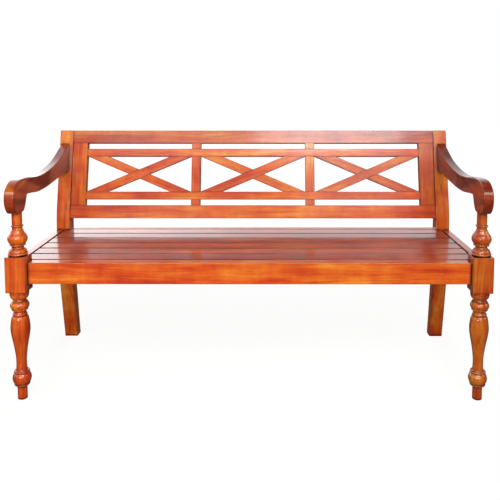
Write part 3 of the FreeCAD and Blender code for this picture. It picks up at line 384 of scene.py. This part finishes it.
def finish_pieces(frame):
    """Gives every piece its own timber, or steel for the screws."""
    mahogany = timber_figure("mahogany_figure", MAHOGANY_COLOURS, *MAHOGANY_SHADES)
    hidden = timber_figure("hidden_timber_figure", HIDDEN_COLOURS, *HIDDEN_SHADES)
    steel = screw_steel()
    chance = random.Random(SEED)
    for node in sorted(frame["nodes"]):
        piece = frame["nodes"][node]
        stretch = chance.uniform(-STRETCH_SPREAD, STRETCH_SPREAD)
        heart = [chance.uniform(-HEART_SPREAD, HEART_SPREAD) for axis in "YZ"]
        tone = MIDDLE_TONE + chance.uniform(-TONE_SPREAD, TONE_SPREAD)
        if node.endswith("_screws"):
            put_material(piece, steel)
            continue
        grain = grain_turn(*piece_grain(node))
        low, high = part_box(node)
        place = Vector((stretch, *heart)) - grain @ ((low + high) / 2)
        if node.startswith(("seat_bearer", "seat_ledger", "corner_block")):
            look = {"Tone": tone, "Brown": 0.0, "Edge": HIDDEN_EDGE}
            put_material(piece, timber(node + "_timber", hidden, grain, place, look, FLAT_GLOSS, 0.0))
            continue
        slat = node.startswith("seat_slat")
        tone += SLAT_TONE if slat else PIECE_TONES.get(node, 0.0)
        edge = SLAT_EDGE_AND_GAP_SHADE if slat else MAHOGANY_EDGE
        look = {"Tone": tone, "Brown": PIECE_BROWN_AND_SHADE.get(node, 0.0), "Edge": edge}
        gloss = ROUND_GLOSS if node.startswith(("front_post", "arm_")) else FLAT_GLOSS
        put_material(piece, timber(node + "_mahogany", mahogany, grain, place, look, gloss, 1.0))


# Studio
def floor():
    """Plain white floor that keeps the bench's shadow."""
    bpy.ops.mesh.primitive_plane_add(size=FLOOR_SIZE, location=(0.0, 0.0, 0.0))
    plane = bpy.context.object
    plane.name = "studio_floor"
    material, nodes = new_material("white_floor")
    path = nodes.add("LightPath").outputs
    seen = path["Is Camera Ray"]
    grey = nodes.maths("MULTIPLY_ADD", path["Is Glossy Ray"], FLOOR_MIRRORED - FLOOR_LIT, FLOOR_LIT)
    matt = nodes.add("BsdfDiffuse", {"Color": nodes.maths("MAXIMUM", grey, seen)})
    light = nodes.add("Emission", {"Color": (1.0, 1.0, 1.0, 1.0), "Strength": FLOOR_WHITE})
    point = nodes.add("TexCoord").outputs["Object"]
    distance = nodes.vector("LENGTH", point).outputs["Value"]
    far = nodes.fitted(distance, *SHADOW_REACH, SHADOW_SHARE, 1.0)
    share = nodes.maths("MULTIPLY", seen, far)
    mixed = nodes.add("MixShader", {0: share, 1: matt.outputs[0], 2: light.outputs[0]})
    nodes.surface(mixed.outputs[0])
    plane.data.materials.append(material)


def white_room():
    """White surroundings: full white where seen, softer as light, and by direction where mirrored."""
    world = bpy.data.worlds.new("white_room")
    bpy.context.scene.world = world
    world.use_nodes = True
    nodes = Nodes(world.node_tree)
    path = nodes.add("LightPath").outputs
    direction = nodes.add("TexCoord").outputs["Generated"]
    rearward = nodes.vector("DOT_PRODUCT", direction, BRIGHT_SIDE).outputs["Value"]
    mirrored = nodes.fitted(rearward, *MIRRORED_SPREAD, MIRRORED_FRONT, MIRRORED_REAR)
    mirrored = nodes.maths("ADD", mirrored, nodes.fitted(rearward, *BRIGHT_SPREAD, 0.0, MIRRORED_BRIGHT))
    glossy = nodes.maths("MAXIMUM", path["Is Glossy Ray"], path["Is Transmission Ray"])
    lighting = nodes.add("Mix", {0: glossy, 2: ROOM_LIGHT, 3: mirrored}, data_type="FLOAT").outputs[0]
    strength = nodes.maths("MAXIMUM", lighting, path["Is Camera Ray"])
    sky = nodes.add("Background", {"Color": (1.0, 1.0, 1.0, 1.0), "Strength": strength})
    nodes.surface(sky.outputs[0], kind="OutputWorld")


def softbox(name, place, aim, size, power, colour=PLAIN_WHITE, mirrored=True):
    """Flat lamp, as wide and high as given, turned to a point."""
    bpy.ops.object.light_add(type="AREA", location=place)
    lamp = bpy.context.object
    lamp.name = name
    lamp.rotation_euler = (Vector(aim) - Vector(place)).to_track_quat("-Z", "Y").to_euler()
    lamp.data.shape = "RECTANGLE"
    lamp.data.size, lamp.data.size_y = size
    lamp.data.energy = power
    lamp.data.color = colour
    lamp.visible_camera = False
    lamp.visible_glossy = mirrored


def lamps():
    """Broad lamps in front, lower ones for the turned legs, and weaker ones at the sides and behind."""
    softbox("front_softbox", (0.05, -2.95, 2.55), SEAT_MIDDLE, (3.3, 1.2), 25.0)
    softbox("key_softbox", (0.60, -2.95, 2.55), SEAT_MIDDLE, (1.4, 1.0), 27.0)
    softbox("low_right_softbox", (0.8, -3.1, 1.95), SEAT_MIDDLE, (1.0, 1.0), 5.0, WARM_WHITE)
    softbox("high_left_softbox", (-1.95, -3.0, 3.0), SEAT_MIDDLE, (0.9, 1.3), 19.0, WARM_WHITE)
    softbox("high_right_softbox", (1.75, -3.0, 3.0), SEAT_MIDDLE, (0.9, 1.3), 17.0, WARM_WHITE)
    softbox("near_left_softbox", (-0.8, -2.9, 0.90), (-0.2, 0.0, 0.4), (1.1, 0.55), 30.0, WARM_WHITE)
    softbox("near_right_softbox", (0.9, -2.9, 0.90), (0.2, 0.0, 0.4), (0.6, 0.5), 9.0, WARM_WHITE)
    softbox("left_softbox", (-2.7, -1.8, 1.3), (-0.3, 0.0, 0.4), (1.4, 1.4), 8.0)
    softbox("right_softbox", (3.0, -0.6, 1.5), SEAT_MIDDLE, (1.4, 1.4), 12.0)
    softbox("rear_softbox", (0.0, 3.0, 1.9), (0.0, 0.2, 0.5), (2.4, 1.4), 46.0, mirrored=False)


def camera():
    """Camera at the photograph's place, with its frame moved down the picture plane."""
    turn = (math.radians(90.0 - CAMERA_TILT), 0.0, math.radians(CAMERA_TURN))
    bpy.ops.object.camera_add(location=CAMERA_PLACE, rotation=turn)
    view = bpy.context.object
    view.data.lens = CAMERA_LENS
    view.data.sensor_width = SENSOR_WIDTH
    view.data.shift_x, view.data.shift_y = CAMERA_SHIFT
    bpy.context.scene.camera = view


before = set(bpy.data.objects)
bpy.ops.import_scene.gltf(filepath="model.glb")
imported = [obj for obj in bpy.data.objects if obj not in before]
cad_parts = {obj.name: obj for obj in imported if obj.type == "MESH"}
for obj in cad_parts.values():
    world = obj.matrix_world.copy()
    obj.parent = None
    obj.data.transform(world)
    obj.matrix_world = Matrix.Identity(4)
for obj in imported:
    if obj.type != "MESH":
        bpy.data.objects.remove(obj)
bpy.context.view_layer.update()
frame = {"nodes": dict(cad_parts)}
bpy.ops.object.select_all(action="DESELECT")
finish_pieces(frame)
floor()
white_room()
lamps()
camera()
bpy.context.scene.view_settings.view_transform = "Standard"
